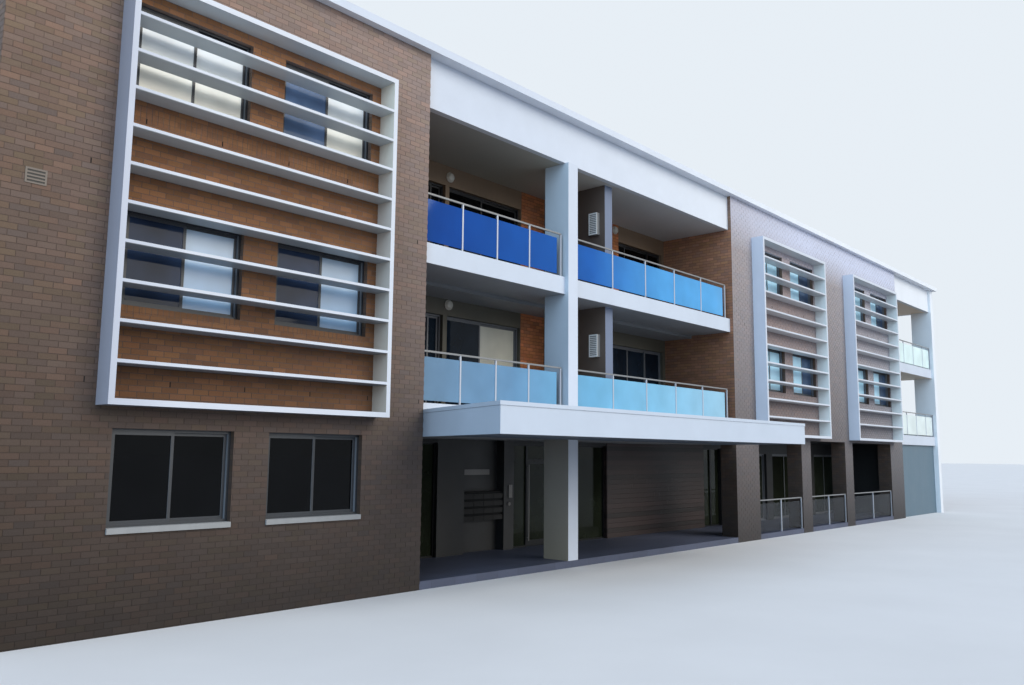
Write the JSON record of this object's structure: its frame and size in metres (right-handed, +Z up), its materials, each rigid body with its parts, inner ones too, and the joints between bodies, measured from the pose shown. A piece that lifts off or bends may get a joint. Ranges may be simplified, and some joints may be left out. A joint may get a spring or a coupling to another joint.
{
  "type": "apartment block",
  "caption": "Three-storey brick apartment block with white louvred sunshades, glass-railed balconies in a white recess, a skewed entrance canopy and a pillared porch.",
  "frame": {"origin": "centre of the bounding box in plan, at the underside of the ground slab", "axes": "X along the street front, left to right seen from the street; Y into the building from the street; Z up"},
  "size_m": [39.82, 16.225, 10.405],
  "materials": {
    "concrete": "rough concrete",
    "brick": "buff brown brick",
    "white_paint": "painted white render",
    "grey_render": "dark grey painted render",
    "pale_render": "blue grey painted render",
    "cream_render": "cream painted render",
    "timber": "stained boards",
    "white_metal": "satin white paint",
    "dark_metal": "dark powder coat",
    "silver_metal": "satin anodised",
    "glass": "clear",
    "blue_glass": "blue tinted",
    "blind_fabric": "matt",
    "white_plastic": "matt"
  },
  "bodies": {
    "building": {"ground_slab": "concrete", "floor_slabs": "concrete", "roof_slab": "concrete", "capping_front_back": "white_paint", "capping_ends": "white_paint", "front_wall_left": "brick", "front_wall_right": "brick", "left_end_wall": "brick", "right_end_wall": "brick", "back_wall": "brick", "porch_piers": "brick", "porch_ceiling": "grey_render", "white_fascias": "white_paint", "end_fascia": "white_paint", "balcony_side_walls": "brick", "recess_back_walls": "grey_render", "corner_back_walls": "cream_render", "corner_ground_walls": "pale_render", "porch_wall": "grey_render", "timber_wall": "timber", "divider_walls": "grey_render", "pillar": "white_paint", "canopy": "white_paint", "balcony_slabs": "white_paint", "corner_fin": "white_paint", "sunshade_sides": "white_metal", "sunshade_ends": "white_metal", "louvre_blades": "white_metal", "window_glass": "glass", "window_frames": "dark_metal", "window_blinds": "blind_fabric", "window_sills": "concrete", "sliding_doors": "dark_metal", "door_glass": "glass", "entry_frame": "dark_metal", "entry_head": "dark_metal", "balustrade_rails": "silver_metal", "balustrade_glass": "blue_glass", "letterboxes": "dark_metal", "entry_fittings": "silver_metal", "wall_lights": "white_plastic", "wall_vents": "white_metal"},
    "entry_leaf": {"entry_door": "dark_metal", "entry_door_glass": "glass", "entry_door_pull": "silver_metal"}
  },
  "joints": [
    {"name": "entry_door_hinge", "type": "hinge", "parent": "building", "child": "entry_leaf", "pos_m": [-5.517, -2.4015, 1.2], "axis": [0, 0, -1], "range_deg": [0, 90]}
  ]
}
